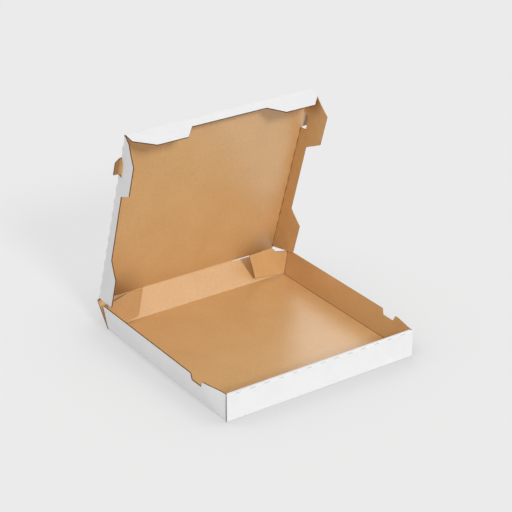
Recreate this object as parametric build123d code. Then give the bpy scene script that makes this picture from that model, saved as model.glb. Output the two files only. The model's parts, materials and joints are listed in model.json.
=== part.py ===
from build123d import *
from math import cos, radians, sin, tan
import os

# A folding pizza box cut from one sheet of fluted board, standing open.
# Millimetres. X runs along the front wall, Y towards the hinge, Z up.
# The origin is the middle of the underside.

# The sheet
board = 1.6
layer_gap = 0.2
crease_gap = 0.1
edge_round = 1.2

# The tray
width = 300.0
depth = 300.0
wall_height = 40.0
wall_splay = 7.2
splay_run = 46.0

# The back wall and the lid, as they stand open
headroom = 0.6
back_lean = 40.5
lid_opening = 31.6
lid_side_gap = 1.2
lid_front_gap = 0.4
floor_gap = 0.6

# Flaps of the lid
left_flap_lean = 9.0
right_flap_lean = 11.5
front_flap_lean = 7.6
waist_depth = 19.1
side_end_depth = 18.1
side_flap_rear_gap = 5.5
side_rear_slope = 17.0
side_rear_lobe = 49.6
side_rear_taper = 19.8
side_front_lobe = 48.5
side_front_taper = 17.3
side_front_chamfer = 21.6
side_front_gap = 0.8
front_waist_half = 59.3
front_lobe_taper = 18.5
front_lobe = 46.8
front_end_depth = 19.0

# Locks: a lug on each side of the lid drops into a notch in the side wall
lock_from_front = 59.5
lug_root = 28.0
lug_tip = 21.0
lug_reach = 9.5
lug_flat = 3.0
lug_bend = 25.0
lug_hole_gap = 0.4
notch_gap = 0.5
notch_bottom = 21.5
notch_depth = 8.5

# Corner tabs at the hinge end of the side walls
tab_floor_gap = 0.8
tab_lean = 8.5
tab_foot = 51.4
tab_reach = 66.0
tab_height = 36.9
tab_relief = 8.0
tab_relief_height = 31.2
tab_relief_slope = 2.5
ear_start = 21.0
ear_slope = 1.24
tab_lid_gap = 0.4
tab_wall_gap = 0.2
slot_height = 1.6
slot_inner = 76.4
slot_outer = 128.0

# Corner tabs at the front end of the side walls, held inside the rolled wall
trapped_tab_reach = 45.0

# Cuts along the creases that make them fold easily
perforation_pitch = 22.2
perforation_length = 8.0
perforation_width = 0.8
perforation_depth = 0.9
front_perforations = 13
side_perforations = 13

# Tongues of the rolled wall and their slots in the floor
tongue_length = 32.0
tongue_from_middle = 75.0
tongue_recess = 0.2
tongue_slot_gap = 0.5

# Sizes that follow
half_width = width / 2
half_depth = depth / 2
back_height = wall_height + headroom + board
rolled_wall = 3 * board + 2 * layer_gap
lid_half = half_width - board - lid_side_gap
lid_length = depth - rolled_wall - lid_front_gap
flap_depth = back_height - board - floor_gap
inner_half = half_width - board
lock_y = -half_depth + lock_from_front
lock_s = half_depth - lock_y
wall_rear = half_depth - board - tab_wall_gap
cut_margin = 5.0

# Placements: the hinge line, the lid's plane and the planes of its flaps.
# Panels are drawn with the outer face at local zero and the thickness inwards.
lid_angle = radians(back_lean + lid_opening)
hinge = Vector(0, half_depth + back_height * sin(radians(back_lean)), back_height * cos(radians(back_lean)))
lid_along = Vector(0, -cos(lid_angle), sin(lid_angle))
lid_inwards = Vector(0, -sin(lid_angle), -cos(lid_angle))
back_inwards = Vector(0, -cos(radians(back_lean)), sin(radians(back_lean)))
lid_plane = Plane(origin=hinge, x_dir=(1, 0, 0), z_dir=lid_inwards)
back_plane = Plane(origin=(0, half_depth, 0), x_dir=(1, 0, 0), z_dir=back_inwards)


def flap_plane(start, along, lean, outwards):
    """The plane of a lid flap that hangs from start, with lean degrees outwards from square."""
    down = lid_inwards * cos(radians(lean)) + outwards * sin(radians(lean))
    return Plane(origin=start, x_dir=along, z_dir=along.cross(down))


front_flap_plane = flap_plane(hinge + lid_along * lid_length, Vector(1, 0, 0), front_flap_lean, lid_along)


def panel(outline):
    """A flat piece of board with this outline."""
    return extrude(make_face(Polyline(*outline, close=True)), board)


def mitre(start, end):
    """The wedge that a fold takes off a panel's edge, with the panel on the left of start to end."""
    edge = Vector(*end) - Vector(*start)
    along = edge.normalized()
    inwards = Vector(-along.Y, along.X, 0)
    origin = Vector(*start) - along * cut_margin
    section = Plane(origin=(origin.X, origin.Y, 0), x_dir=inwards, z_dir=-along)
    spare = 0.1
    outside = -cut_margin
    points = [
        (outside, spare),
        (crease_gap - spare, spare),
        (crease_gap + board + spare, -board - spare),
        (outside, -board - spare),
    ]
    if section.y_dir.Z > 0:
        points = [(across, -up) for across, up in points]
    wedge = make_face(section * Polyline(*points, close=True))
    return extrude(wedge, edge.length + 2 * cut_margin, dir=along)


def mirrored(half_outline):
    """An outline that is closed by its own mirror image in X."""
    return half_outline + [(-x, y) for x, y in reversed(half_outline)]


def rounding(length):
    """The sliver outside a rounded edge that runs along X, with the board above and behind it."""
    reach = length + cut_margin
    corner = Box(reach, edge_round, edge_round, align=(Align.CENTER, Align.MIN, Align.MIN))
    bend = Pos(0, edge_round, edge_round) * Rot(0, 90, 0) * Cylinder(edge_round, reach + cut_margin)
    return corner - bend


def row(count, pitch):
    """Evenly spaced places about zero."""
    return [(index - (count - 1) / 2) * pitch for index in range(count)]


def wall_section(y, splay):
    """The section of the right side wall at one place along the box, leaning out by splay at its top."""
    rise = (wall_height**2 - splay**2) ** 0.5
    foot, top = Vector(inner_half, y, 0), Vector(inner_half + splay, y, rise)
    out = Vector(board, 0, 0)
    return make_face(Polyline(foot, foot + out, top + out, top, close=True))


def side_wall():
    """The right side wall: upright where the rolled wall holds it, splayed from there to the back."""
    front = -half_depth + board + layer_gap
    bend = front + splay_run
    upright = wall_section(front, 0)
    splayed = wall_section(bend, wall_splay)
    wall = loft([upright, splayed], ruled=True)
    wall += extrude(splayed, wall_rear - bend, dir=(0, 1, 0))
    return wall - lock_notch()


def lock_notch():
    """The notch in the right side wall that takes the lid's lug."""
    top = (lug_root + 2 * notch_gap) / 2
    bottom = notch_bottom / 2
    floor = wall_height - notch_depth
    flare = (top - bottom) / notch_depth
    high = floor + 2 * notch_depth
    profile = [
        (lock_y - bottom, floor),
        (lock_y + bottom, floor),
        (lock_y + bottom + flare * notch_depth, wall_height - 0.6),
        (lock_y + bottom + flare * notch_depth, high),
        (lock_y - bottom - flare * notch_depth, high),
        (lock_y - bottom - flare * notch_depth, wall_height - 0.6),
    ]
    side = Plane(origin=(inner_half - cut_margin, 0, 0), x_dir=(0, 1, 0), z_dir=(1, 0, 0))
    return extrude(make_face(side * Polyline(*profile, close=True)), wall_splay + 3 * cut_margin, dir=(1, 0, 0))


def rear_tab():
    """The right rear corner tab, folded in behind the pizza, with a relief beside its crease for the flap."""
    frame = Plane(
        origin=(inner_half, wall_rear, board + tab_floor_gap),
        x_dir=(-cos(radians(tab_lean)), 0, sin(radians(tab_lean))),
        z_dir=(0, 1, 0),
    )
    reach = tab_foot + (tab_reach - tab_foot) * back_height / tab_height
    outline = [
        (-board, 0),
        (tab_foot, 0),
        (reach, back_height),
        (ear_start + ear_slope * (back_height - tab_height), back_height),
        (ear_start, tab_height),
        (tab_relief + tab_relief_slope, tab_height),
        (tab_relief, tab_relief_height),
        (-board, tab_relief_height),
    ]
    tab = extrude(make_face(frame * Polyline(*outline, close=True)), board, dir=(0, -1, 0))
    under_lid = Pos(0, 0, wall_height + headroom - tab_lid_gap)
    return tab - under_lid * Box(3 * width, 3 * depth, wall_height, align=(Align.CENTER, Align.CENTER, Align.MIN))


def trapped_tab():
    """The right front corner tab, held between the two faces of the rolled wall."""
    front = -half_depth + board + layer_gap
    top = wall_height - board - layer_gap
    return Pos(inner_half + board / 2, front, board / 2) * Box(
        trapped_tab_reach, board, top - board / 2, align=(Align.MAX, Align.MIN, Align.MIN)
    )


def rolled_front_wall():
    """The front wall: up the outside, over a flat ledge and down the inside to the floor."""
    low = (Align.CENTER, Align.MIN, Align.MIN)
    between = 2 * (inner_half - layer_gap)
    outer = Pos(0, -half_depth, 0) * Box(width, board, wall_height, align=low)
    ledge = Pos(0, -half_depth, wall_height - board) * Box(between, rolled_wall, board, align=low)
    inside = -half_depth + rolled_wall - board
    inner = Pos(0, inside, board) * Box(between, board, wall_height - board, align=low)
    wall = outer + ledge + inner
    for x in row(front_perforations, perforation_pitch):
        wall -= Pos(x, -half_depth, wall_height - board) * Box(
            perforation_length, 2 * perforation_depth, perforation_width
        )
    wall -= Pos(0, -half_depth, wall_height) * Rot(-90, 0, 0) * rounding(width)
    return wall


def tongues_and_slots():
    """The tongues under the rolled wall's inner face, and the floor slots around them."""
    inside = -half_depth + rolled_wall - board
    tongues, slots = Part(), Part()
    for x in (-tongue_from_middle, tongue_from_middle):
        place = Pos(x, inside + board / 2, 0)
        slots += place * Box(tongue_length + 2 * tongue_slot_gap, board + 2 * tongue_slot_gap, 3 * board)
        height = board - tongue_recess + board / 2
        tongues += place * Pos(0, 0, tongue_recess) * Box(
            tongue_length, board, height, align=(Align.CENTER, Align.CENTER, Align.MIN)
        )
    return tongues, slots


def make_tray():
    """The floor with its four folded corners, in one piece as it is in the sheet."""
    low = (Align.CENTER, Align.CENTER, Align.MIN)
    floor = Box(width, depth, board, align=low)
    floor -= mitre((half_width, half_depth), (-half_width, half_depth))
    tongues, slots = tongues_and_slots()
    floor -= slots
    half = side_wall() + rear_tab() + trapped_tab()
    tray = floor + tongues + rolled_front_wall() + half + mirror(half, about=Plane.YZ)
    tray -= Pos(0, -half_depth, 0) * rounding(width)
    for side in (-1, 1):
        corner = Pos(side * half_width, 0, 0) * Rot(0, 0, side * 90) * rounding(depth)
        tray -= corner
    return tray


def make_back_wall():
    """The panel between the tray and the lid, with a slot at its top crease for each tab's ear."""
    foot, head = half_width - layer_gap, lid_half
    outline = [(-foot, 0), (foot, 0), (head, back_height), (-head, back_height)]
    wall = panel(outline)
    wall -= mitre((-foot, 0), (foot, 0))
    wall -= mitre((head, back_height), (-head, back_height))
    for side in (-1, 1):
        middle = side * (slot_inner + slot_outer) / 2
        wall -= Pos(middle, back_height, 0) * Box(slot_outer - slot_inner, 2 * slot_height, 4 * board)
    return back_plane * wall


def lug():
    """The right-hand lug: cut free of the flap, level with the lid and then bent down.

    It is drawn from the side as one bent strip and cut to its tapered outline from above.
    """
    turn = radians(lug_bend)
    along, across = Vector(cos(turn), 0, sin(turn)), Vector(-sin(turn), 0, cos(turn))
    start = Vector(lid_half - 2 * board, 0, 0)
    knee = Vector(lid_half + lug_flat, 0, 0)
    tip = knee + along * (lug_reach - lug_flat)
    inner_knee = knee + Vector(-board * tan(turn / 2), 0, board)
    strip = Polyline(start, knee, tip, tip + across * board, inner_knee, start + Vector(0, 0, board), close=True)
    bent = extrude(make_face(strip), lug_root, both=True)
    root, end = lug_root / 2, lug_tip / 2
    outline = [
        (start.X, -root),
        (lid_half, -root),
        (tip.X, -end),
        (tip.X, end),
        (lid_half, root),
        (start.X, root),
    ]
    cutter = Pos(0, lock_s, -board) * extrude(make_face(Polyline(*outline, close=True)), 2 * lug_reach)
    return (Pos(0, lock_s, 0) * bent) & cutter


def make_lid():
    """The lid's panel, with a lug at each side crease."""
    outline = [(-lid_half, 0), (lid_half, 0), (lid_half, lid_length), (-lid_half, lid_length)]
    lid = panel(outline)
    for start, end in zip(outline, outline[1:] + outline[:1]):
        lid -= mitre(start, end)
    right = lug()
    return lid_plane * (lid + right + mirror(right, about=Plane.YZ))


def side_flap_outline():
    """The left flap from the hinge end to the front, with distances from the hinge and from the crease."""
    rear = side_flap_rear_gap + side_rear_slope
    rear_end = rear + side_rear_lobe
    front_end = lid_length - board - side_front_gap
    front = front_end - side_front_chamfer
    front_start = front - side_front_lobe
    return [
        (side_flap_rear_gap, 0),
        (front_end, 0),
        (front_end, side_end_depth),
        (front, flap_depth),
        (front_start, flap_depth),
        (front_start - side_front_taper, waist_depth),
        (rear_end + side_rear_taper, waist_depth),
        (rear_end, flap_depth),
        (rear, flap_depth),
    ]


def make_side_flap(lean):
    """The lid's left flap, with the hole that the lug leaves and the cuts along its crease."""
    outline = side_flap_outline()
    flap = panel(outline)
    flap -= mitre(outline[0], outline[1])
    root, tip = lug_root / 2 + lug_hole_gap, lug_tip / 2 + lug_hole_gap
    reach, shoulder = lug_reach + lug_hole_gap, board + lug_hole_gap
    half_hole = [(root, -board), (root, shoulder), (tip, reach)]
    hole = make_face(Pos(lock_s, 0, -board) * Polyline(*mirrored(half_hole), close=True))
    flap -= extrude(hole, 3 * board)
    for s in row(side_perforations, perforation_pitch):
        place = lid_length / 2 + s
        if abs(place - lock_s) > (lug_root + perforation_length) / 2:
            flap -= Pos(place, crease_gap, 0) * Box(perforation_length, 2 * perforation_width, 2 * perforation_depth)
    plane = flap_plane(hinge - Vector(lid_half, 0, 0), lid_along, lean, Vector(-1, 0, 0))
    return plane * flap


def make_front_flap():
    """The lid's front flap: two lobes and a shallow waist, which tuck in behind the rolled wall."""
    lobe_start = front_waist_half + front_lobe_taper
    half = [
        (lid_half, 0),
        (lid_half, front_end_depth),
        (lobe_start + front_lobe, flap_depth),
        (lobe_start, flap_depth),
        (front_waist_half, waist_depth),
    ]
    flap = panel(mirrored(half))
    flap -= mitre((-lid_half, 0), (lid_half, 0))
    return front_flap_plane * flap


tray = make_tray()
back_wall = make_back_wall()
lid = make_lid()
left_flap = make_side_flap(left_flap_lean)
right_flap = mirror(make_side_flap(right_flap_lean), about=Plane.YZ)
front_flap = make_front_flap()

nodes = {
    "tray": tray,
    "back_wall": back_wall,
    "lid_panel": lid,
    "left_flap": left_flap,
    "right_flap": right_flap,
    "front_flap": front_flap,
}
os.makedirs("parts", exist_ok=True)
for name, solid in nodes.items():
    export_step(solid, f"parts/{name}.step")
    print(name, round(solid.volume), "mm3", solid.bounding_box())
print("hinge", tuple(round(value, 3) for value in hinge), "lid length", lid_length, "lid half", lid_half)
print("flap depth", flap_depth, "lock from hinge", lock_s)
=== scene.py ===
import bisect
import json
import math
import bmesh
import bpy
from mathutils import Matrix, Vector

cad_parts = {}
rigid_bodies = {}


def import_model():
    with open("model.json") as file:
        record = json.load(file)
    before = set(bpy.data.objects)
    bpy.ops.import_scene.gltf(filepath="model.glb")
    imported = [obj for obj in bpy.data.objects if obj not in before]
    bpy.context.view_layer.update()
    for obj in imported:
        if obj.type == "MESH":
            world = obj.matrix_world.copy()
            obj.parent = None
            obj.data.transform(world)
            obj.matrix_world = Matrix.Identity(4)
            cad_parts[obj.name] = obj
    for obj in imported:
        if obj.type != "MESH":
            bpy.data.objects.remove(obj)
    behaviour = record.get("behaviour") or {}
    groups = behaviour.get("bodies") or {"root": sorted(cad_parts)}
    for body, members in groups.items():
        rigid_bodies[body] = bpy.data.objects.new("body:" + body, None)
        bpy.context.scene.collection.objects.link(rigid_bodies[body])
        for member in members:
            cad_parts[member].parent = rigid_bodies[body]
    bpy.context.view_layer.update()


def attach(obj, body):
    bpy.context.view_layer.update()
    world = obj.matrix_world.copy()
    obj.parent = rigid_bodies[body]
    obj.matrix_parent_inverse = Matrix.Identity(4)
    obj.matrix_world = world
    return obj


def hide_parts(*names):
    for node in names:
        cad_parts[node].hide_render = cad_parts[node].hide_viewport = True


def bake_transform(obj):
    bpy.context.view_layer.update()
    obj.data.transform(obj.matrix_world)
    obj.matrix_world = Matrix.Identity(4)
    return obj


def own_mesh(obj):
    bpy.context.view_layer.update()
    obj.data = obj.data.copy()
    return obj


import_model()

# A pizza box of white-topped kraft board, standing open. Lengths are millimetres until a mesh is made.
# A piece of board is drawn flat: u runs along its crease, v away from it and w through the board,
# from the white outer liner at 0 to the brown inner one. A shape function then folds it into place.

sheet = {
    "board": 1.6,
    "crease": 2.4,  # how far from a fold's corner a panel stops and its crease begins
    "bend": 1.8,  # radius of the white liner round a fold
    "grid": 12.0,  # how fine the mesh of a panel is, and below that of a crease
    "creaseGrid": 8.0,
    "bumpGrid": 4.0,  # where a crease swells between its cuts
    "cornerPoints": 4,  # points on a rounded corner
    "flutePitch": 3.2,
    "slitLength": 8.0,
    "slitWidth": 0.4,
    "slitPitch": 22.2,
    "slitMargin": 5.0,  # how near to a crease's end no cut comes
    "foldReach": 0.8,  # how far the darker pressed line, partly painted shade, goes beyond a fold
    "foldStep": 18,  # degrees of a fold for each row of its mesh
    "sharpFrom": 32,  # degrees
}
board, crease, bend = sheet["board"], sheet["crease"], sheet["bend"]

box = {
    "half": 150.0,
    "wall": 40.0,
    "back": 42.2,
    "backLean": 40.5,
    "lidAngle": 72.1,
    "lidHalf": 147.2,
    "lidLength": 294.4,
    "flapDepth": 40.0,
    "leftLean": 9.0,
    "rightLean": 11.5,
    "frontLean": 7.6,
    "wallSplay": 7.2,
    "tabLean": 8.5,
}

xAxis, yAxis, zAxis = Vector((1, 0, 0)), Vector((0, 1, 0)), Vector((0, 0, 1))
backLean, lidAngle = math.radians(box["backLean"]), math.radians(box["lidAngle"])
backFoot = yAxis * box["half"]
backUp = Vector((0, math.sin(backLean), math.cos(backLean)))
hinge = backFoot + backUp * box["back"]
lidAlong = Vector((0, -math.cos(lidAngle), math.sin(lidAngle)))
lidIn = Vector((0, -math.sin(lidAngle), -math.cos(lidAngle)))


class Shade:
    # one socket, with arithmetic that adds Math nodes
    def __init__(self, graph, socket):
        self.graph, self.socket = graph, socket

    def join(self, operation, first, second):
        node = self.graph.add("ShaderNodeMath", {"operation": operation}, {0: first, 1: second})
        return Shade(self.graph, node.outputs[0])

    def __add__(self, other): return self.join("ADD", self, other)
    def __radd__(self, other): return self.join("ADD", other, self)
    def __sub__(self, other): return self.join("SUBTRACT", self, other)
    def __rsub__(self, other): return self.join("SUBTRACT", other, self)
    def __mul__(self, other): return self.join("MULTIPLY", self, other)
    def __rmul__(self, other): return self.join("MULTIPLY", other, self)


class Graph:
    def __init__(self, tree):
        self.tree = tree
        tree.nodes.clear()

    def add(self, kind, settings=None, inputs=None):
        node = self.tree.nodes.new(kind)
        for name, value in (settings or {}).items():
            setattr(node, name, value)
        for name, value in (inputs or {}).items():
            if isinstance(value, Shade):
                self.tree.links.new(value.socket, node.inputs[name])
            elif isinstance(value, bpy.types.NodeSocket):
                self.tree.links.new(value, node.inputs[name])
            else:
                node.inputs[name].default_value = value
        return node

    def number(self, kind, settings=None, inputs=None, output=0):
        return Shade(self, self.add(kind, settings, inputs).outputs[output])

    def maths(self, operation, *values):
        return self.number("ShaderNodeMath", {"operation": operation}, dict(enumerate(values)))

    def blend(self, factor, first, second):
        node = self.add(
            "ShaderNodeMix",
            {"data_type": "RGBA", "blend_type": "MIX", "clamp_factor": True},
            {"Factor": factor, 6: first, 7: second},
        )
        return node.outputs[2]

    def ramp(self, value, low, high):
        return self.number(
            "ShaderNodeMapRange",
            {"interpolation_type": "SMOOTHSTEP"},
            {"Value": value, "From Min": low, "From Max": high, "To Min": 0.0, "To Max": 1.0},
        )


def rgb(red, green, blue):
    # a colour in values from 0 to 255, as the linear one that Blender wants
    def linear(value):
        value /= 255.0
        return value / 12.92 if value <= 0.04045 else ((value + 0.055) / 1.055) ** 2.4

    return (linear(red), linear(green), linear(blue), 1.0)


def newMaterial(name, viewColour):
    material = bpy.data.materials.new(name)
    material.use_nodes = True
    material.diffuse_color = viewColour
    return material, Graph(material.node_tree)


def sheetCoordinates(graph, scaleAlong, scaleAcross):
    # u runs along the flutes and v across them, in millimetres of flat board
    flat = graph.add("ShaderNodeUVMap", {"uv_map": "sheet"})
    scaled = graph.add(
        "ShaderNodeVectorMath", {"operation": "MULTIPLY"}, {0: flat.outputs[0], 1: (scaleAlong, scaleAcross, 1.0)}
    )
    return scaled.outputs[0]


def noiseOn(graph, coordinates, scale, detail, roughness):
    return graph.number(
        "ShaderNodeTexNoise",
        {"noise_dimensions": "2D"},
        {"Vector": coordinates, "Scale": scale, "Detail": detail, "Roughness": roughness},
    )


def across(graph):
    flat = graph.add("ShaderNodeUVMap", {"uv_map": "sheet"})
    parts = graph.add("ShaderNodeSeparateXYZ", {}, {0: flat.outputs[0]})
    return Shade(graph, parts.outputs[0]), Shade(graph, parts.outputs[1])


def washboard(graph):
    # the flutes show faintly through a liner as a fine ripple
    _, v = across(graph)
    return graph.maths("SINE", v * (2 * math.pi / sheet["flutePitch"]))


kraft = {
    "base": rgb(217, 173, 116),
    "dark": rgb(208, 162, 104),
    "light": rgb(225, 183, 127),
    "fleck": rgb(176, 128, 78),
    "paleFleck": rgb(236, 204, 160),
    # darker brown for creases, partly the pressed score line and partly painted shade, and for painted shade in
    # corners and under flaps
    "creaseAndShadeColour": rgb(136, 84, 36),
    "fleckShare": 0.3,
    "paleShare": 0.35,
    "fibreStretch": 0.16,
    # noises: scale, detail and roughness
    "clouds": (0.022, 4.0, 0.55),
    "mottles": (0.22, 4.0, 0.6),
    "fibres": (1.6, 3.0, 0.6),
    "flecks": (0.75, 1.0, 0.4),
    "paleFlecks": (1.1, 1.0, 0.4),
    "creaseAndShadeFrom": 0.35,  # where the darkening of creases and of painted shade starts
    "creaseAndShadeShare": 0.8,
    "roughness": 0.37,
    "roughnessSpread": 0.12,
    "specular": 1.0,
    "ior": 1.6,
    "ripple": 0.05,
    "fibreHeight": 0.35,
    "mottleHeight": 0.3,
    "bump": 0.35,
    "bumpDepth": 0.00012,
}


def kraftLiner():
    material, graph = newMaterial("kraft_liner", kraft["base"])
    fine = sheetCoordinates(graph, 1.0, 1.0)
    drawn = sheetCoordinates(graph, kraft["fibreStretch"], 1.0)  # fibres lie along the flutes
    cloud = noiseOn(graph, fine, *kraft["clouds"])
    mottle = noiseOn(graph, fine, *kraft["mottles"])
    fibre = noiseOn(graph, drawn, *kraft["fibres"])
    fleck = noiseOn(graph, drawn, *kraft["flecks"])
    pale = noiseOn(graph, sheetCoordinates(graph, 0.5, 0.9), *kraft["paleFlecks"])
    shade = cloud * 0.35 + mottle * 0.3 + fibre * 0.6 - 0.125
    colour = graph.blend(graph.ramp(shade, 0.15, 0.85), kraft["dark"], kraft["light"])
    colour = graph.blend(graph.ramp(fleck, 0.70, 0.78) * kraft["fleckShare"], colour, kraft["fleck"])
    colour = graph.blend(graph.ramp(pale, 0.71, 0.78) * kraft["paleShare"], colour, kraft["paleFleck"])
    # painted shade in creases, corners and under flaps, with the pressed line of a crease, mixed in from the
    # attribute
    creaseAndShadeLevel = graph.number("ShaderNodeAttribute", {"attribute_name": "creaseAndShade"}, {}, "Fac")
    colour = graph.blend(graph.ramp(creaseAndShadeLevel, kraft["creaseAndShadeFrom"], 1.0) * kraft["creaseAndShadeShare"], colour, kraft["creaseAndShadeColour"])
    ripple = washboard(graph)
    height = fibre * kraft["fibreHeight"] + mottle * kraft["mottleHeight"] + ripple * kraft["ripple"]
    bump = graph.add(
        "ShaderNodeBump", {}, {"Strength": kraft["bump"], "Distance": kraft["bumpDepth"], "Height": height}
    )
    finish = graph.add(
        "ShaderNodeBsdfPrincipled",
        {},
        {
            "Base Color": colour,
            "Roughness": kraft["roughness"] + (mottle - 0.5) * kraft["roughnessSpread"],
            "IOR": kraft["ior"],
            "Specular IOR Level": kraft["specular"],
            "Normal": bump.outputs[0],
        },
    )
    graph.add("ShaderNodeOutputMaterial", {}, {"Surface": finish.outputs[0]})
    return material


white = {
    "base": rgb(247, 247, 247),
    "shadow": rgb(241, 241, 242),
    "fleck": rgb(214, 208, 200),
    "creaseAndShadeColour": rgb(172, 172, 175),
    "fleckShare": 0.12,
    "fibreStretch": 0.2,
    # noises: scale, detail and roughness
    "clouds": (0.03, 3.0, 0.5),
    "mottles": (0.35, 4.0, 0.6),
    "fibres": (1.4, 2.0, 0.5),
    "creaseAndShadeFrom": 1.1,  # only painted shade, stronger than a crease's line, turns grey: the side walls' front ends
    "creaseAndShadeTo": 1.6,
    "roughness": 0.66,
    "roughnessSpread": 0.1,
    "specular": 0.12,
    "ripple": 0.12,
    "mottleHeight": 0.3,
    "fibreHeight": 0.15,
    "bump": 0.3,
    "bumpDepth": 0.0001,
}


def whiteLiner():
    material, graph = newMaterial("white_liner", white["base"])
    fine = sheetCoordinates(graph, 1.0, 1.0)
    cloud = noiseOn(graph, fine, *white["clouds"])
    mottle = noiseOn(graph, fine, *white["mottles"])
    fibre = noiseOn(graph, sheetCoordinates(graph, white["fibreStretch"], 1.0), *white["fibres"])
    colour = graph.blend(graph.ramp(cloud * 0.5 + mottle * 0.5, 0.2, 0.8), white["shadow"], white["base"])
    colour = graph.blend(graph.ramp(fibre, 0.74, 0.82) * white["fleckShare"], colour, white["fleck"])
    # painted shade: the side walls' front ends drawn grey
    creaseAndShadeLevel = graph.number("ShaderNodeAttribute", {"attribute_name": "creaseAndShade"}, {}, "Fac")
    colour = graph.blend(graph.ramp(creaseAndShadeLevel, white["creaseAndShadeFrom"], white["creaseAndShadeTo"]), colour, white["creaseAndShadeColour"])
    height = mottle * white["mottleHeight"] + fibre * white["fibreHeight"] + washboard(graph) * white["ripple"]
    bump = graph.add(
        "ShaderNodeBump", {}, {"Strength": white["bump"], "Distance": white["bumpDepth"], "Height": height}
    )
    finish = graph.add(
        "ShaderNodeBsdfPrincipled",
        {},
        {
            "Base Color": colour,
            "Roughness": white["roughness"] + (mottle - 0.5) * white["roughnessSpread"],
            "Specular IOR Level": white["specular"],
            "Normal": bump.outputs[0],
        },
    )
    graph.add("ShaderNodeOutputMaterial", {}, {"Surface": finish.outputs[0]})
    return material


edge = {
    "paper": rgb(150, 104, 62),
    # each gap colour is the hollows between the flutes, drawn darker: painted shade
    "gap": rgb(62, 38, 20),
    "earPaper": rgb(226, 180, 128),  # painted highlight: the ears' tops drawn pale, as if catching the light
    "earGap": rgb(196, 148, 98),
    "shadedEndPaper": rgb(176, 175, 175),  # painted shade: the rolled wall's ends, where the white liner is drawn over, drawn grey as in shade
    "shadedEndGap": rgb(158, 157, 158),
    "rightPaper": rgb(206, 158, 108),  # painted light: the right side's edges drawn paler, as if facing the light
    "rightGap": rgb(158, 110, 68),
    "whitePaper": rgb(190, 170, 146),
    "liner": 0.22,  # thickness of a liner
    "medium": 0.2,  # thickness of the fluted paper between the liners
    "wear": (0.8, 3.0, 0.5),  # a noise: scale, detail and roughness
    "roughness": 0.85,
    "specular": 0.2,
}


def cutEdge(name, paperColour, gapColour, linerColour):
    # u is the place across the flutes and v the depth in the board
    material, graph = newMaterial(name, paperColour)
    place, depth = across(graph)
    swing = board / 2 - edge["liner"] - edge["medium"] / 2
    wave = graph.maths("SINE", place * (2 * math.pi / sheet["flutePitch"])) * swing + board / 2
    away = graph.maths("ABSOLUTE", depth - wave)
    medium = 1.0 - graph.ramp(away, edge["medium"] * 0.5, edge["medium"] * 1.1)
    inner = graph.ramp(depth, board - edge["liner"] * 1.3, board - edge["liner"])
    outer = 1.0 - graph.ramp(depth, edge["liner"] * 0.7, edge["liner"])
    worn = noiseOn(graph, sheetCoordinates(graph, 1.0, 1.0), *edge["wear"])
    paper = graph.maths("MAXIMUM", medium, inner) * (worn * 0.5 + 0.7)
    colour = graph.blend(paper, gapColour, paperColour)
    colour = graph.blend(outer, colour, linerColour)
    finish = graph.add(
        "ShaderNodeBsdfPrincipled",
        {},
        {"Base Color": colour, "Roughness": edge["roughness"], "Specular IOR Level": edge["specular"]},
    )
    graph.add("ShaderNodeOutputMaterial", {}, {"Surface": finish.outputs[0]})
    return material


liners = [
    whiteLiner(),
    kraftLiner(),
    cutEdge("cut_edge", edge["paper"], edge["gap"], edge["whitePaper"]),
    cutEdge("shaded_end_edge", edge["shadedEndPaper"], edge["shadedEndGap"], edge["shadedEndPaper"]),
    cutEdge("ear_edge", edge["earPaper"], edge["earGap"], edge["earPaper"]),
    cutEdge("right_edge", edge["rightPaper"], edge["rightGap"], edge["rightPaper"]),
]
print("materials made")


def foldPath(start, *steps):
    # the white liner's line through a fold: numbers are flat stretches, pairs are turns of degrees and radius
    spans, along, h, q, heading = [], 0.0, start, 0.0, 0.0
    for step in steps:
        if isinstance(step, tuple):
            turn, radius = math.radians(step[0]), step[1]
            spans.append((along, h, q, heading, radius))
            middle = (h - radius * math.sin(heading), q + radius * math.cos(heading))
            along, heading = along + turn * radius, heading + turn
            h, q = middle[0] + radius * math.sin(heading), middle[1] - radius * math.cos(heading)
        else:
            spans.append((along, h, q, heading, None))
            h, q, along = h + step * math.cos(heading), q + step * math.sin(heading), along + step
    starts = [span[0] for span in spans]

    def at(v, w):
        begin, h0, q0, heading0, radius = spans[max(0, bisect.bisect_right(starts, v) - 1)]
        if radius is None:
            forward, angle = v - begin, heading0
            return (
                h0 + forward * math.cos(angle) - w * math.sin(angle),
                q0 + forward * math.sin(angle) + w * math.cos(angle),
            )
        angle = heading0 + (v - begin) / radius
        middle = (h0 - radius * math.sin(heading0), q0 + radius * math.cos(heading0))
        return (
            middle[0] + (radius - w) * math.sin(angle),
            middle[1] - (radius - w) * math.cos(angle),
        )

    marks, turns = [], []
    for place, span in enumerate(spans):
        end = starts[place + 1] if place + 1 < len(spans) else along
        count = 1 if span[4] is None else max(3, round((end - span[0]) / span[4] / math.radians(sheet["foldStep"])))
        marks += [span[0] + (end - span[0]) * k / count for k in range(count)]
        if span[4] is not None:
            turns.append((span[0], end))
            marks += [span[0] - sheet["foldReach"], end + sheet["foldReach"]]
    return at, [mark for mark in marks if 0 < mark < along], along, turns


def pressed(turns, strength=1.0):
    # how dark the brown liner is drawn beside a fold, by the distance from the nearest fold: partly the pressed
    # score line, partly painted shade in the crease
    def value(u, v):
        away = min(max(start - v, v - end, 0.0) for start, end in turns)
        return strength * max(0.0, 1 - away / sheet["foldReach"])

    return value


def foldOf(turn, radius=bend):
    # a crease of this turn, from one panel's edge to the other's
    tangent = radius * math.tan(math.radians(turn) / 2)
    return foldPath(-crease, crease - tangent, (turn, radius), crease - tangent)


def rectangle(left, low, right, high):
    return [(left, low), (right, low), (right, high), (left, high)]


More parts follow.
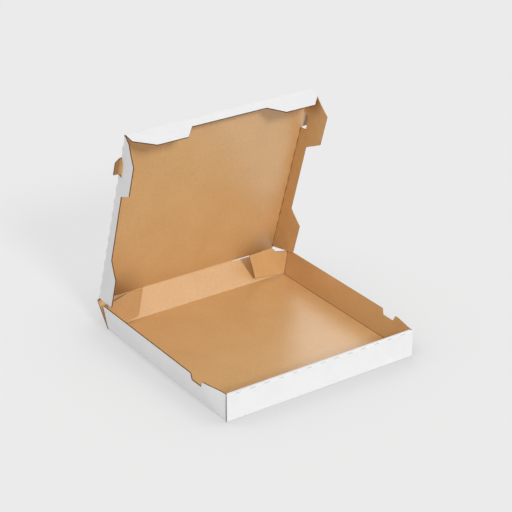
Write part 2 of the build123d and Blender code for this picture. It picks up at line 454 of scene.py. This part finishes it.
def softened(outline, radius):
    # the line with each corner between its ends rounded, as a cutting die leaves it
    count = sheet["cornerPoints"]
    points = [Vector(point) for point in outline]
    result = []
    for index, corner in enumerate(points):
        back = points[index - 1] - corner
        ahead = points[(index + 1) % len(points)] - corner
        turn = math.pi - back.angle(ahead)
        if turn < math.radians(4):
            result.append(tuple(corner))
            continue
        reach = min(radius * math.tan(turn / 2), back.length * 0.45, ahead.length * 0.45)
        first, last = corner + back.normalized() * reach, corner + ahead.normalized() * reach
        for step in range(count):
            t = step / (count - 1)
            result.append(tuple(first * (1 - t) ** 2 + corner * 2 * t * (1 - t) + last * t**2))
    return outline[:1] + result[count:-count] + outline[-1:]


def stepsBetween(low, high, step):
    count = max(1, round((high - low) / step))
    return [low + (high - low) * k / count for k in range(1, count)]


def flatBoard(outline, holes, marksU, marksV):
    # the drawn outline as a mesh of small faces, so that it can be folded
    flat = bmesh.new()
    for loop in [outline, *holes]:
        corners = [flat.verts.new((u, v, 0)) for u, v in loop]
        for first, second in zip(corners, corners[1:] + corners[:1]):
            flat.edges.new((first, second))
    bmesh.ops.triangle_fill(flat, use_beauty=True, use_dissolve=False, edges=flat.edges[:], normal=(0, 0, 1))
    for marks, direction in ((marksU, 0), (marksV, 1)):
        for mark in marks:
            place, normal = [0, 0, 0], [0, 0, 0]
            place[direction], normal[direction] = mark, 1
            bmesh.ops.bisect_plane(
                flat, geom=flat.verts[:] + flat.edges[:] + flat.faces[:], dist=0.02, plane_co=place, plane_no=normal
            )
    bmesh.ops.remove_doubles(flat, verts=flat.verts[:], dist=0.01)
    for face in flat.faces:
        if face.normal.z < 0:
            face.normal_flip()
    return flat


def boardPiece(
    name, body, outline, shape, marks=((), ()), holes=(), grid=sheet["grid"], fluteAcross="v", creaseAndShade=None, edgeAt=None
):
    # one closed piece of board: white liner, brown liner and cut edges
    us, vs = [point[0] for point in outline], [point[1] for point in outline]
    marksU = sorted(set(list(marks[0]) + stepsBetween(min(us), max(us), grid)))
    marksV = sorted(set(list(marks[1]) + stepsBetween(min(vs), max(vs), grid)))
    flat = flatBoard(outline, holes, marksU, marksV)
    flat.verts.ensure_lookup_table()
    flat.verts.index_update()
    middle = (sum(us) / len(us), sum(vs) / len(vs))
    here = shape(*middle, 0.0)
    overU, overV = shape(middle[0] + 0.01, middle[1], 0.0) - here, shape(middle[0], middle[1] + 0.01, 0.0) - here
    turned = overU.cross(overV).dot(shape(*middle, 0.01) - here) < 0
    count = len(flat.verts)
    places = [shape(vert.co.x, vert.co.y, w) * 0.001 for w in (0.0, board) for vert in flat.verts]
    faces, paints, uvs = [], [], []

    def cover(corners, paint, coordinates):
        if turned:
            corners, coordinates = corners[::-1], coordinates[::-1]
        faces.append(corners)
        paints.append(paint)
        uvs.extend(coordinates)

    def onSheet(vert):
        return (vert.co.x, vert.co.y) if fluteAcross == "v" else (vert.co.y, vert.co.x)

    for face in flat.faces:
        ring = list(face.verts)
        cover([vert.index for vert in ring][::-1], 0, [onSheet(vert) for vert in ring][::-1])
        cover([vert.index + count for vert in ring], 1, [onSheet(vert) for vert in ring])
    for line in flat.edges:
        if line.is_boundary:
            loop = line.link_loops[0]
            a, b = loop.vert, loop.link_loop_next.vert
            pa, pb = onSheet(a)[1], onSheet(b)[1]
            cover(
                [a.index, b.index, b.index + count, a.index + count],
                edgeAt(a.co, b.co) if edgeAt else 2,
                [(pa, 0.0), (pb, 0.0), (pb, board), (pa, board)],
            )
    creaseAndShadeLevel = [creaseAndShade(vert.co.x, vert.co.y) if creaseAndShade else 0.0 for vert in flat.verts] * 2
    flat.free()
    mesh = bpy.data.meshes.new(name)
    mesh.from_pydata(places, [], faces)
    mesh.attributes.new("creaseAndShade", "FLOAT", "POINT").data.foreach_set("value", creaseAndShadeLevel)
    for material in liners:
        mesh.materials.append(material)
    mesh.polygons.foreach_set("material_index", paints)
    layer = mesh.uv_layers.new(name="sheet")
    layer.data.foreach_set("uv", [value for pair in uvs for value in pair])
    mesh.shade_smooth()
    mesh.set_sharp_from_angle(angle=math.radians(sheet["sharpFrom"]))
    mesh.validate()
    piece = bpy.data.objects.new(name, mesh)
    bpy.context.scene.collection.objects.link(piece)
    if body:
        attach(piece, body)
    return piece


def slitsAt(places, v):
    # short cuts through the board along a crease
    long, wide = sheet["slitLength"] / 2, sheet["slitWidth"] / 2
    return [rectangle(u - long, v - wide, u + long, v + wide) for u in places]


def rowOf(count, pitch, middle=0.0):
    return [middle + (index - (count - 1) / 2) * pitch for index in range(count)]


def placed(origin, along, away, inwards):
    # turns a path's two numbers and a place along the crease into a point
    return lambda u, h, q: origin + along * u + away * h + inwards * q


def creaseBetween(name, turn, ends, origin, along, away, inwards, slits=(), line=1.0, bump=0.0, radius=bend):
    # the rounded board round a fold
    at, marks, length, turns = foldOf(turn, radius)
    put = placed(origin, along, away, inwards)
    out = (away - inwards).normalized()
    first = slits[0] if slits else 0.0

    def shape(u, v, w):
        # the board stands proud between the cuts
        swell = (0.5 - 0.5 * math.cos((u - first) / sheet["slitPitch"] * 2 * math.pi)) ** 2
        return put(u, *at(v, w)) + out * bump * swell * math.sin(v / length * math.pi)

    margin = sheet["slitMargin"]
    holes = slitsAt([place for place in slits if ends[0] + margin < place < ends[1] - margin], length / 2)
    piece = boardPiece(
        name,
        None,
        rectangle(ends[0], 0.0, ends[1], length),
        shape,
        marks=((), marks),
        holes=holes,
        grid=sheet["bumpGrid"] if bump else sheet["creaseGrid"],
        fluteAcross="u" if abs(along.x) < 0.5 else "v",
        creaseAndShade=pressed(turns, line),
    )
    middle = (ends[0] + ends[1]) / 2
    start, end = put(middle, *at(0.0, 0.0)), put(middle, *at(length, 0.0))
    tuple(start * 0.001)
    tuple(end * 0.001)
    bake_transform(piece)


tray = {
    "ledge": 5.2,
    "ledgeBend": 1.3,
    "innerHalf": 148.2,
    "layerGap": 0.2,
    "wallFront": -148.2,
    "wallRear": 148.2,
    "splayRun": 46.0,
    "notch": (-104.7, -101.2, -79.3, -76.0),
    "notchFloor": 31.5,
    "corner": 1.2,  # radius of the notches' die-cut corners
    "tongueHalf": 16.0,
    "tongueAt": 75.0,
    "tongueLength": 1.3,
    "slotGap": 0.5,
    "slits": 13,
    "slitPitch": 22.1,
    "slitHeight": 38.5,
    "frontBow": 0.35,
    "trappedReach": 45.0,
    "trappedFoot": 2.6,
    "trappedSlope": 3.0,
    "trappedGap": 0.3,
    "bulge": (3.6, 0.6),  # left and right
    "endShadeLength": 4.6,
    "paintedShade": (0.0, 0.47),  # left and right: painted shade, the wall's inside drawn darker from this level
    "floorLift": 0.35,
    "tabFloor": 2.0,
}
half, wall = box["half"], box["wall"]


def makeFloor():
    reach = half - crease
    inside = -half + tray["ledge"] - board
    gap = tray["slotGap"]
    slots = []
    for x in (-tray["tongueAt"], tray["tongueAt"]):
        left, right = x - tray["tongueHalf"] - gap, x + tray["tongueHalf"] + gap
        slots.append(rectangle(left, inside - gap, right, inside + board + gap))

    def shape(u, v, w):
        lift = tray["floorLift"] * math.cos(u / reach * math.pi / 2) * math.cos(v / reach * math.pi / 2)
        return Vector((u, v, w + lift))

    boardPiece("tray_floor", "tray", rectangle(-reach, -reach, reach, reach), shape, holes=slots)


def heightOn(height):
    # v on a wall's path for a height above the floor's underside
    return height + crease - 2 * bend + bend * math.pi / 2


def splayAt(y):
    t = min(1.0, max(0.0, (y - tray["wallFront"]) / tray["splayRun"]))
    return math.asin(box["wallSplay"] / wall) * t * t * (3 - 2 * t)


def makeSideWall(side, name):
    at, marks, length, turns = foldPath(-crease, crease - bend, (90, bend), wall - bend)
    turnStart, turnEnd = crease - bend, crease - bend + bend * math.pi / 2

    def shape(u, v, w):
        h, q = at(v, w)
        share = min(1.0, max(0.0, (v - turnStart) / (turnEnd - turnStart)))
        rise = max(0.0, v - turnEnd) / (length - turnEnd)
        # furthest out a third of the way up, where 2.6 makes the profile 1
        h += tray["bulge"][side > 0] * 2.6 * math.sqrt(rise) * (1 - rise) * math.cos(u / half * math.pi / 2) ** 0.5
        angle = splayAt(u) * share
        return Vector((
            side * (half + h * math.cos(angle) + q * math.sin(angle)),
            u,
            q * math.cos(angle) - h * math.sin(angle),
        ))

    front, rear, top, foot = tray["wallFront"], tray["wallRear"], length, heightOn(tray["tabFloor"])
    n, low = tray["notch"], heightOn(tray["notchFloor"])
    wallOutline = [
        (front, foot), (front, top), (n[0], top), (n[1], low), (n[2], low), (n[3], top),
        (rear - crease, top), (rear - crease, foot), (rear, foot), (rear, 0.0), (front, 0.0),
    ]
    outline = wallOutline[:1] + softened(wallOutline[1:7], tray["corner"]) + wallOutline[7:]
    line = pressed(turns)

    def creaseAndShade(u, v):
        # painted shade: the white front end drawn grey where it turns in behind the rolled wall, and the right
        # wall's inside drawn darker
        endShade = white["creaseAndShadeTo"] * max(0.0, 1 - (u - front) / tray["endShadeLength"])
        return max(line(u, v), endShade, tray["paintedShade"][side > 0])

    # the right wall's cut edges are drawn paler: painted light
    boardPiece(
        name, "tray", outline[::-1], shape, marks=([front + tray["endShadeLength"]], [*marks, turnEnd + 2, turnEnd + 5]),
        fluteAcross="u", creaseAndShade=creaseAndShade, edgeAt=lambda a, b: 5 if side > 0 else 2,
    )


def makeFrontWall():
    r = tray["ledgeBend"]
    rise, ledge = wall - bend - r, tray["ledge"] - 2 * r
    at, marks, length, turns = foldPath(
        -crease, crease - bend, (90, bend), rise, (90, r), ledge, (90, r), wall - board - r
    )
    overLedge = crease - bend + bend * math.pi / 2 + rise + r * math.pi / 2
    inner, tongue, tip = tray["innerHalf"], tray["tongueHalf"], length + tray["tongueLength"]
    outline = [(-half, 0.0), (half, 0.0), (half, overLedge), (inner, overLedge), (inner, length)]
    for x in (tray["tongueAt"], -tray["tongueAt"]):
        outline += [(x + tongue, length), (x + tongue, tip), (x - tongue, tip), (x - tongue, length)]
    outline += [(-inner, length), (-inner, overLedge), (-half, overLedge)]
    slits = slitsAt(rowOf(tray["slits"], tray["slitPitch"]), heightOn(tray["slitHeight"]))
    put = placed(-yAxis * half, xAxis, -yAxis, zAxis)

    def shape(u, v, w):
        h, q = at(v, w)
        risen = min(1.0, max(0.0, q / wall))
        bow = tray["frontBow"] * math.sin(risen * math.pi) * math.cos(u / half * math.pi / 2)
        return put(u, h + bow, q)

    # the rolled wall's two ends get the grey edge of painted shade
    boardPiece(
        "tray_front_wall", "tray", outline, shape, marks=((), marks), holes=slits, creaseAndShade=pressed(turns[:1]),
        edgeAt=lambda a, b: 3 if min(abs(a.x), abs(b.x)) > half - 0.1 else 2,
    )


def makeTrappedTab(side, name):
    # the side wall's front corner, held inside the rolled wall
    at, marks, length, turns = foldPath(-crease, crease - bend, (90, bend), tray["trappedReach"])
    foot, top = tray["trappedFoot"], wall - board - tray["trappedGap"]
    put = placed(
        Vector((side * half, tray["wallFront"] - 0.05, 0)), zAxis, Vector((0, -1, 0)), Vector((-side, 0, 0))
    )
    outline = [(foot, crease), (top, crease), (top, length), (foot + tray["trappedSlope"], length)]
    boardPiece(
        name, "tray", outline, lambda u, v, w: put(u, *at(v, w)), marks=((), marks), creaseAndShade=pressed(turns),
    )


tabs = {
    # outlines in the tab's own plane: distance from the wall's fold, height above the tab's foot
    "right": [(0.8, 0.0), (52.6, 0.2), (69.2, 36.8), (29.8, 44.0), (21.3, 37.4), (0.8, 36.4)],
    "left": [
        (0.8, 0.0), (12.0, -0.4), (26.0, -1.5), (47.6, -2.0), (55.6, 18.0), (63.2, 37.1),
        (49.7, 39.1), (37.6, 40.8), (16.7, 37.9), (0.8, 36.2),
    ],
    "foldTop": 36.3,
    "foldSlope": 0.8,  # how much higher the fold is at the tab than at the wall
    "earFoot": 35.5,
    "earKeep": 0.14,
    "earTop": 4.5,  # how far below the ear's foot its top edge may still be pale
    "corner": 1.2,
    "paintedShade": (0.57, 0.0),  # left and right: painted shade, the liner drawn darker from this level
    "litFrom": (36.0, 20.0),  # left and right: from here on the ear's top is drawn pale, a painted highlight
}


def makeRearTab(side, name):
    lean, splay = math.radians(box["tabLean"]), splayAt(half)
    outline = [(a + board, b + tray["tabFloor"]) for a, b in tabs[name]]

    def shape(u, v, w):
        return Vector((
            side * (half + v * math.sin(splay) - u * math.cos(lean)),
            tray["wallRear"] - w,
            v * math.cos(splay) + u * math.sin(lean),
        ))

    def level(u):
        return (tabs["earFoot"] - u * math.sin(lean)) / math.cos(splay)

    def clipped(points, above):
        result = []
        for (u0, v0), (u1, v1) in zip(points, points[1:] + points[:1]):
            over0, over1 = (v0 - level(u0)) * above, (v1 - level(u1)) * above
            if over0 >= 0:
                result.append((u0, v0))
            if over0 * over1 < 0:
                t = over0 / (over0 - over1)
                result.append((u0 + (u1 - u0) * t, v0 + (v1 - v0) * t))
        return result

    # painted shade over the whole tab, on the left only
    def tabShade(u, v):
        return tabs["paintedShade"][side > 0]

    def earEdge(a, b):
        # painted highlight on the ear's top edges
        lit = max(a.y, b.y) > tabs["earFoot"] - tabs["earTop"] and min(a.x, b.x) > tabs["litFrom"][side > 0]
        return 4 if lit else 2

    rounded = softened(outline, tabs["corner"])
    boardPiece("tray_" + name + "_tab", "tray", clipped(rounded, -1), shape, fluteAcross="u", creaseAndShade=tabShade)
    ear = boardPiece(
        "tray_" + name + "_ear", "tray", clipped(rounded, 1), shape, fluteAcross="u", creaseAndShade=tabShade, edgeAt=earEdge,
    )
    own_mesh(ear)
    at, marks, length, turns = foldOf(90)
    up = Vector((side * math.sin(splay), 0, math.cos(splay)))
    put = placed(
        Vector((side * half, tray["wallRear"], 0)), up, yAxis, Vector((-side * math.cos(splay), 0, math.sin(splay)))
    )
    foot, top = tray["tabFloor"], tray["tabFloor"] + tabs["foldTop"]
    boardPiece(
        "tray_" + name + "_corner", "tray",
        [(foot, 0.0), (top + tabs["foldSlope"], 0.0), (top, length), (foot, length)],
        lambda u, v, w: put(u, *at(v, w)), marks=((), marks), grid=sheet["creaseGrid"], creaseAndShade=pressed(turns),
    )


makeFloor()
makeSideWall(-1, "tray_left_wall")
makeSideWall(1, "tray_right_wall")
makeFrontWall()
makeTrappedTab(-1, "tray_left_trapped_tab")
makeTrappedTab(1, "tray_right_trapped_tab")
makeRearTab(-1, "left")
makeRearTab(1, "right")
print("tray made")


rearSlots = {
    # the ears' slots: their ends, and how far each side of the crease they are open
    "inner": 76.4,
    "outer": 128.0,
    "lidGaps": (0.1, 0.7),  # left and right
    "wallGaps": (0.6, 2.4),
    "creaseLine": 0.25,
    "hingeBend": 4.5,
    "leftEnd": 149.4,  # how far the panel reaches at its top on the left
    "paintedShade": 0.25,  # painted shade: how dark the back wall is drawn behind the left ear
    "paintedShadeFrom": (-104.0, -140.0, 22.0),  # that place's two ends and its foot
    "paintedShadeBlend": (8.0, 6.0, 10.0),  # how far each of them fades
}
lidHalf, lidLength, back = box["lidHalf"], box["lidLength"], box["back"]


def withSlots(edge, gaps):
    # one edge of a panel from left to right, with the board left standing between the slots' ends
    inner, outer = rearSlots["inner"], rearSlots["outer"]
    return [(-outer, edge), (-outer, gaps[0]), (-inner, gaps[0]), (-inner, edge),
            (inner, edge), (inner, gaps[1]), (outer, gaps[1]), (outer, edge)]


def makeBackWall():
    foot, head, leftHead = half - tray["layerGap"], lidHalf, rearSlots["leftEnd"]
    put = placed(backFoot, xAxis, backUp, Vector((0, -math.cos(backLean), math.sin(backLean))))
    top = back - crease
    upper = withSlots(top, [back - gap for gap in rearSlots["wallGaps"]])
    outline = [(-foot, crease), (foot, crease), (head, top)] + upper[::-1] + [(-leftHead, top)]

    (inner, outer, low), (innerFade, outerFade, lowFade) = rearSlots["paintedShadeFrom"], rearSlots["paintedShadeBlend"]

    # painted shade on the back wall behind the left ear
    def creaseAndShade(u, v):
        behindEar = min(1.0, max(0.0, (inner - u) / innerFade), max(0.0, (u - outer) / outerFade))
        return kraft["creaseAndShadeFrom"] + rearSlots["paintedShade"] * behindEar * min(1.0, max(0.0, (v - low) / lowFade))

    marks = ([outer, outer + outerFade, inner - innerFade, inner], [low, low + lowFade / 2, low + lowFade])
    boardPiece("back_wall_panel", "back_wall", outline, put, marks=marks, creaseAndShade=creaseAndShade)
    creaseBetween(
        "back_wall_crease", 90 - box["backLean"], (-foot, foot),
        backFoot, xAxis, yAxis, zAxis, line=rearSlots["creaseLine"],
    )
    wallIn = Vector((0, -math.cos(backLean), math.sin(backLean)))
    ends = [(-leftHead, -rearSlots["outer"]), (-rearSlots["inner"], rearSlots["inner"]), (rearSlots["outer"], head)]
    turn = 90 - (box["lidAngle"] - box["backLean"])
    for number, end in enumerate(ends):
        creaseBetween(
            "lid_hinge_crease_%d" % number, turn, end,
            hinge, xAxis, backUp, wallIn, line=rearSlots["creaseLine"], radius=rearSlots["hingeBend"],
        )


lid = {
    "lugMiddle": 242.4,
    "lugRoot": 28.0,
    "lugTip": 20.4,
    "lugReach": 11.4,
    "lugFlat": 3.0,
    "lugBend": 22.0,
    "lugRadius": 2.0,
    "lugRun": 20.0,  # more than the lug's length beyond its bend
    "lugGap": 0.4,
    "flapRear": 5.5,
    "flapFront": 292.0,
    "bow": 2.2,
    "bowPower": 0.7,  # the less, the flatter its middle
    "rows": (4.5, 9.0),  # more rows of the mesh beside the hinge
    "paintedShade": (0.7, 0.42),  # painted shade: how dark the board is drawn towards the hinge's corners, left and right
    "paintedShadeReach": 80.0,
    "paintedShadePower": 1.5,
    "cornerFrom": 72.0,  # how far from the middle it gets darker towards a corner, and over what length
    "cornerReach": 55.0,
    "middleShare": 0.42,  # what is left of it in the middle
    "lugShade": 0.85,  # painted shade: how dark the inside of a lug is drawn at least
    "lugFade": 6.0,  # over what length it gets there
}


def makeLid():
    side, root, tip = lidHalf - crease, lid["lugRoot"] / 2, lid["lugTip"] / 2
    middle, reach = lid["lugMiddle"], lid["lugReach"]
    bendStart = lidHalf + lid["lugFlat"]
    at, marks, _, turns = foldPath(0.0, bendStart, (lid["lugBend"], lid["lugRadius"]), lid["lugRun"])
    rear = withSlots(crease, rearSlots["lidGaps"])
    rightSide = [
        (lidHalf, crease), (lidHalf, lid["flapRear"]), (side, lid["flapRear"]), (side, middle - root),
        (lidHalf, middle - root), (lidHalf + reach, middle - tip), (lidHalf + reach, middle + tip),
        (lidHalf, middle + root), (side, middle + root), (side, lidLength - crease),
    ]
    outline = rear + rightSide + [(-u, v) for u, v in rightSide[::-1]]

    def shape(u, v, w):
        h, q = at(abs(u), w)
        overWidth = max(0.0, math.cos(u / side * math.pi / 2)) ** lid["bowPower"]
        bow = lid["bow"] * overWidth * math.sin(min(1.0, v / lidLength) * math.pi)
        return hinge + xAxis * math.copysign(h, u) + lidAlong * v + lidIn * (q + bow)

    left, right = lid["paintedShade"]
    middleShare = lid["middleShare"]

    def creaseAndShade(u, v):
        # darkest in the lug's crease, partly its pressed line, and painted shade from there to its end and towards
        # the hinge's corners
        beyond = abs(u) - turns[0][0]
        if beyond < 0:
            onLug = max(0.0, 1 + beyond / sheet["foldReach"])
        else:
            onLug = max(lid["lugShade"], 1 - beyond / lid["lugFade"])
        amount = left + (right - left) * (u / side + 1) / 2
        corner = min(1.0, max(0.0, (abs(u) - lid["cornerFrom"]) / lid["cornerReach"]))
        spread = middleShare + (1 - middleShare) * corner
        paintedShade = amount * max(0.0, 1 - v / lid["paintedShadeReach"]) ** lid["paintedShadePower"] * spread
        return max(onLug, paintedShade + kraft["creaseAndShadeFrom"] if paintedShade > 0 else 0.0)

    boardPiece(
        "lid_board", "lid", outline, shape, marks=([*marks, *(-mark for mark in marks)], lid["rows"]), creaseAndShade=creaseAndShade,
    )


flaps = {
    # outlines: distance from the hinge, or from the middle of the front, and distance from the fold
    "side": [
        (5.5, 0.0), (22.5, 40.0), (72.1, 40.0), (91.9, 19.1), (205.1, 19.1), (222.2, 40.0), (270.6, 40.0),
        (292.0, 18.1), (292.0, 0.0),
    ],
    "front": [
        (147.2, 0.0), (147.2, 19.0), (127.0, 40.0), (80.2, 40.0), (61.7, 19.3), (-56.9, 19.3), (-75.4, 40.0),
        (-122.2, 40.0), (-147.2, 19.0), (-147.2, 0.0),
    ],
    "leftCurl": (-1.1, 1.0),  # how far the free edge bends outwards at the rear and at the front
    "rightCurl": (0.5, 0.7),
    "frontCurl": 0.3,
    "leftHollow": (0.3, -1.6),  # how far the middle bends inwards
    "rightHollow": (0.4, 2.0),
    "sideCorner": 1.6,  # radius of the die-cut corners
    "frontCorner": 1.8,
    "grid": 9.0,
    "slits": 13,
    "slitMiddle": 148.6,
    "foldBump": 1.3,  # how far the folds stand proud between the cuts
    "paintedShade": (0.0, 0.55),  # painted shadow: how dark the board is drawn under the front flap's end, left and right
    "paintedShadeFrom": (250.0, 20.0),  # where that starts along the flap, and where it ends away from the fold
    "paintedShadeBlend": (30.0, 16.0),
}


def makeSideFlap(side, name, lean, curl, hollow):
    angle = math.radians(lean)
    out = xAxis * side
    down = lidIn * math.cos(angle) + out * math.sin(angle)
    inwards = lidIn * math.sin(angle) - out * math.cos(angle)
    origin = hinge + out * lidHalf

    def shape(u, v, w):
        t = u / lidLength
        down01 = min(1.0, max(0.0, v - crease) / (box["flapDepth"] - crease))
        bendOut = (curl[0] * (1 - t) + curl[1] * t) * down01**2
        bendOut -= (hollow[0] * (1 - t) + hollow[1] * t) * math.sin(down01 * math.pi)
        return origin + lidAlong * u + down * v + inwards * w + out * bendOut

    gap, middle = lid["lugGap"], lid["lugMiddle"]
    root, tip = lid["lugRoot"] / 2 + gap, lid["lugTip"] / 2 + gap
    reach = lid["lugReach"] + gap
    hole = [(middle + root, crease), (middle + tip, reach), (middle - tip, reach), (middle - root, crease)]
    drawn = flaps["side"]
    startU = drawn[0][0] + (drawn[1][0] - drawn[0][0]) * crease / drawn[1][1]
    outer = [(startU, crease)] + drawn[1:-1] + [(drawn[-1][0], crease)]
    outline = softened(outer, flaps["sideCorner"]) + hole
    (alongFrom, awayFrom), (alongFade, awayFade) = flaps["paintedShadeFrom"], flaps["paintedShadeBlend"]

    # painted shadow of the front flap's end on the right flap
    def creaseAndShade(u, v):
        amount = min(1.0, max(0.0, (u - alongFrom) / alongFade)) * min(1.0, max(0.0, 1 - (v - awayFrom) / awayFade))
        return kraft["creaseAndShadeFrom"] + flaps["paintedShade"][side > 0] * amount

    # the right flap's cut edges are drawn paler: painted light
    boardPiece(
        name + "_flap_board", name + "_flap", outline[::-1], shape, fluteAcross="u", grid=flaps["grid"], creaseAndShade=creaseAndShade,
        edgeAt=lambda a, b: 5 if side > 0 else 2,
    )
    slits = rowOf(flaps["slits"], sheet["slitPitch"], flaps["slitMiddle"])
    for number, ends in enumerate(((lid["flapRear"], middle - root), (middle + root, lid["flapFront"]))):
        creaseBetween(
            "%s_flap_crease_%d" % (name, number), 90 - lean, ends,
            origin, lidAlong, out, lidIn, slits=slits, bump=flaps["foldBump"],
        )


def makeFrontFlap():
    angle = math.radians(box["frontLean"])
    down = lidIn * math.cos(angle) + lidAlong * math.sin(angle)
    inwards = lidIn * math.sin(angle) - lidAlong * math.cos(angle)
    origin = hinge + lidAlong * lidLength

    def shape(u, v, w):
        bendOut = flaps["frontCurl"] * (max(0.0, v) / box["flapDepth"]) ** 2
        return origin + xAxis * u + down * v + inwards * w + lidAlong * bendOut

    drawn = flaps["front"]
    outer = [(drawn[0][0], crease)] + drawn[1:-1] + [(drawn[-1][0], crease)]
    outline = softened(outer, flaps["frontCorner"])
    boardPiece("front_flap_board", "front_flap", outline, shape, grid=flaps["grid"])
    creaseBetween(
        "front_flap_crease", 90 - box["frontLean"], (-lidHalf, lidHalf),
        origin, xAxis, lidAlong, lidIn,
    )


makeBackWall()
makeLid()
makeSideFlap(-1, "left", box["leftLean"], flaps["leftCurl"], flaps["leftHollow"])
makeSideFlap(1, "right", box["rightLean"], flaps["rightCurl"], flaps["rightHollow"])
makeFrontFlap()
for nodeName, pieceName in (
    ("tray", "tray_floor"), ("back_wall", "back_wall_panel"), ("lid_panel", "lid_board"),
    ("left_flap", "left_flap_board"), ("right_flap", "right_flap_board"), ("front_flap", "front_flap_board"),
):
    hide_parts(nodeName)
print("lid and flaps made")


studio = {
    "floorColour": (0.69, 0.69, 0.69, 1.0),  # as it lights the box
    "floorSeen": (0.985, 0.985, 0.985, 1.0),  # as the camera sees it
    "floorNear": (0.82, 0.82, 0.825, 1.0),  # painted shade right beside the box
    "nearReach": 0.17,
    "openFrom": 0.6,  # how open to the sky the floor is where it is darkest
    "floorDrop": 0.0002,
    "floorSize": 14.0,
    "floorGlow": 0.85,
    "glowShare": 0.74,
    "worldLight": 0.43,
    "backdrop": 0.823,
    # strength, width in degrees, direction in degrees to the right of the front, height in degrees
    "key": (1.57, 11.0, -5.0, 32.0),
    "left": (0.41, 10.0, -98.0, 4.0),
    "back": (0.57, 50.0, 145.5, 27.0),
    "top": (0.36, 100.0, 0.0, 90.0),
}


def seenRays(graph):
    # one for what the camera, a gloss or a glass sees, and nothing for plain light
    path = graph.add("ShaderNodeLightPath")
    seen = graph.maths("MAXIMUM", path.outputs["Is Camera Ray"], path.outputs["Is Glossy Ray"])
    return graph.maths("MAXIMUM", seen, path.outputs["Is Transmission Ray"])


def makeStudio():
    material, graph = newMaterial("studio_floor", studio["floorColour"])
    unseen = graph.add("ShaderNodeBsdfDiffuse", {}, {"Color": studio["floorColour"]})
    # painted shade on the floor beside the box, darker where it is closed in (ambient occlusion)
    openness = graph.number("ShaderNodeAmbientOcclusion", {"samples": 8}, {"Distance": studio["nearReach"]}, "AO")
    pale = graph.blend(graph.ramp(openness, studio["openFrom"], 1.0), studio["floorNear"], studio["floorSeen"])
    matt = graph.add("ShaderNodeBsdfDiffuse", {}, {"Color": pale})
    glow = graph.add("ShaderNodeEmission", {}, {"Color": pale, "Strength": studio["floorGlow"]})
    seen = graph.add("ShaderNodeMixShader", {}, {0: studio["glowShare"], 1: matt.outputs[0], 2: glow.outputs[0]})
    shown = graph.add(
        "ShaderNodeMixShader", {}, {0: seenRays(graph), 1: unseen.outputs[0], 2: seen.outputs[0]}
    )
    graph.add("ShaderNodeOutputMaterial", {}, {"Surface": shown.outputs[0]})
    floor = bmesh.new()
    bmesh.ops.create_grid(floor, x_segments=8, y_segments=8, size=studio["floorSize"])
    mesh = bpy.data.meshes.new("studio_floor")
    floor.to_mesh(mesh)
    floor.free()
    mesh.materials.append(material)
    stage = bpy.data.objects.new("studio_floor", mesh)
    stage.location = (0, 0, -studio["floorDrop"])
    bpy.context.scene.collection.objects.link(stage)

    world = bpy.data.worlds.new("studio_world")
    bpy.context.scene.world = world
    world.use_nodes = True
    graph = Graph(world.node_tree)
    strength = studio["worldLight"] + seenRays(graph) * (studio["backdrop"] - studio["worldLight"])
    sky = graph.add("ShaderNodeBackground", {}, {"Color": (1, 1, 1, 1), "Strength": strength})
    graph.add("ShaderNodeOutputWorld", {}, {"Surface": sky.outputs[0]})

    lit = bpy.data.collections.new("lit_from_behind")
    for piece in bpy.context.scene.collection.objects:
        if piece.type == "MESH" and piece != stage:
            lit.objects.link(piece)
    for name in ("key", "left", "back", "top"):
        strength, width, azimuth, height = studio[name]
        azimuth, height, width = math.radians(azimuth), math.radians(height), math.radians(width)
        towards = Vector((
            math.sin(azimuth) * math.cos(height), -math.cos(azimuth) * math.cos(height), math.sin(height),
        ))
        lamp = bpy.data.lights.new(name, "SUN")
        lamp.energy, lamp.angle = strength, width
        light = bpy.data.objects.new(name, lamp)
        light.rotation_euler = towards.to_track_quat("Z", "Y").to_euler()
        bpy.context.scene.collection.objects.link(light)
        if name == "back":  # it gives the tray its sheen and throws no shadow on the floor
            light.light_linking.receiver_collection = lit


view = {
    "place": (-1.1638, -1.6885, 1.1402),
    "azimuth": 34.52,
    "drop": 26.18,
    "lens": 120.1,
    "sensor": 36.0,
    "far": 100.0,
}


def makeCamera():
    lens = bpy.data.cameras.new("camera")
    lens.sensor_width, lens.lens, lens.clip_end = view["sensor"], view["lens"], view["far"]
    camera = bpy.data.objects.new("camera", lens)
    azimuth, drop = math.radians(view["azimuth"]), math.radians(view["drop"])
    ahead = Vector((
        math.sin(azimuth) * math.cos(drop), math.cos(azimuth) * math.cos(drop), -math.sin(drop),
    ))
    camera.location = view["place"]
    camera.rotation_euler = ahead.to_track_quat("-Z", "Y").to_euler()
    bpy.context.scene.collection.objects.link(camera)
    bpy.context.scene.camera = camera


makeStudio()
makeCamera()
bpy.context.scene.view_settings.view_transform = "Standard"
print("studio made")
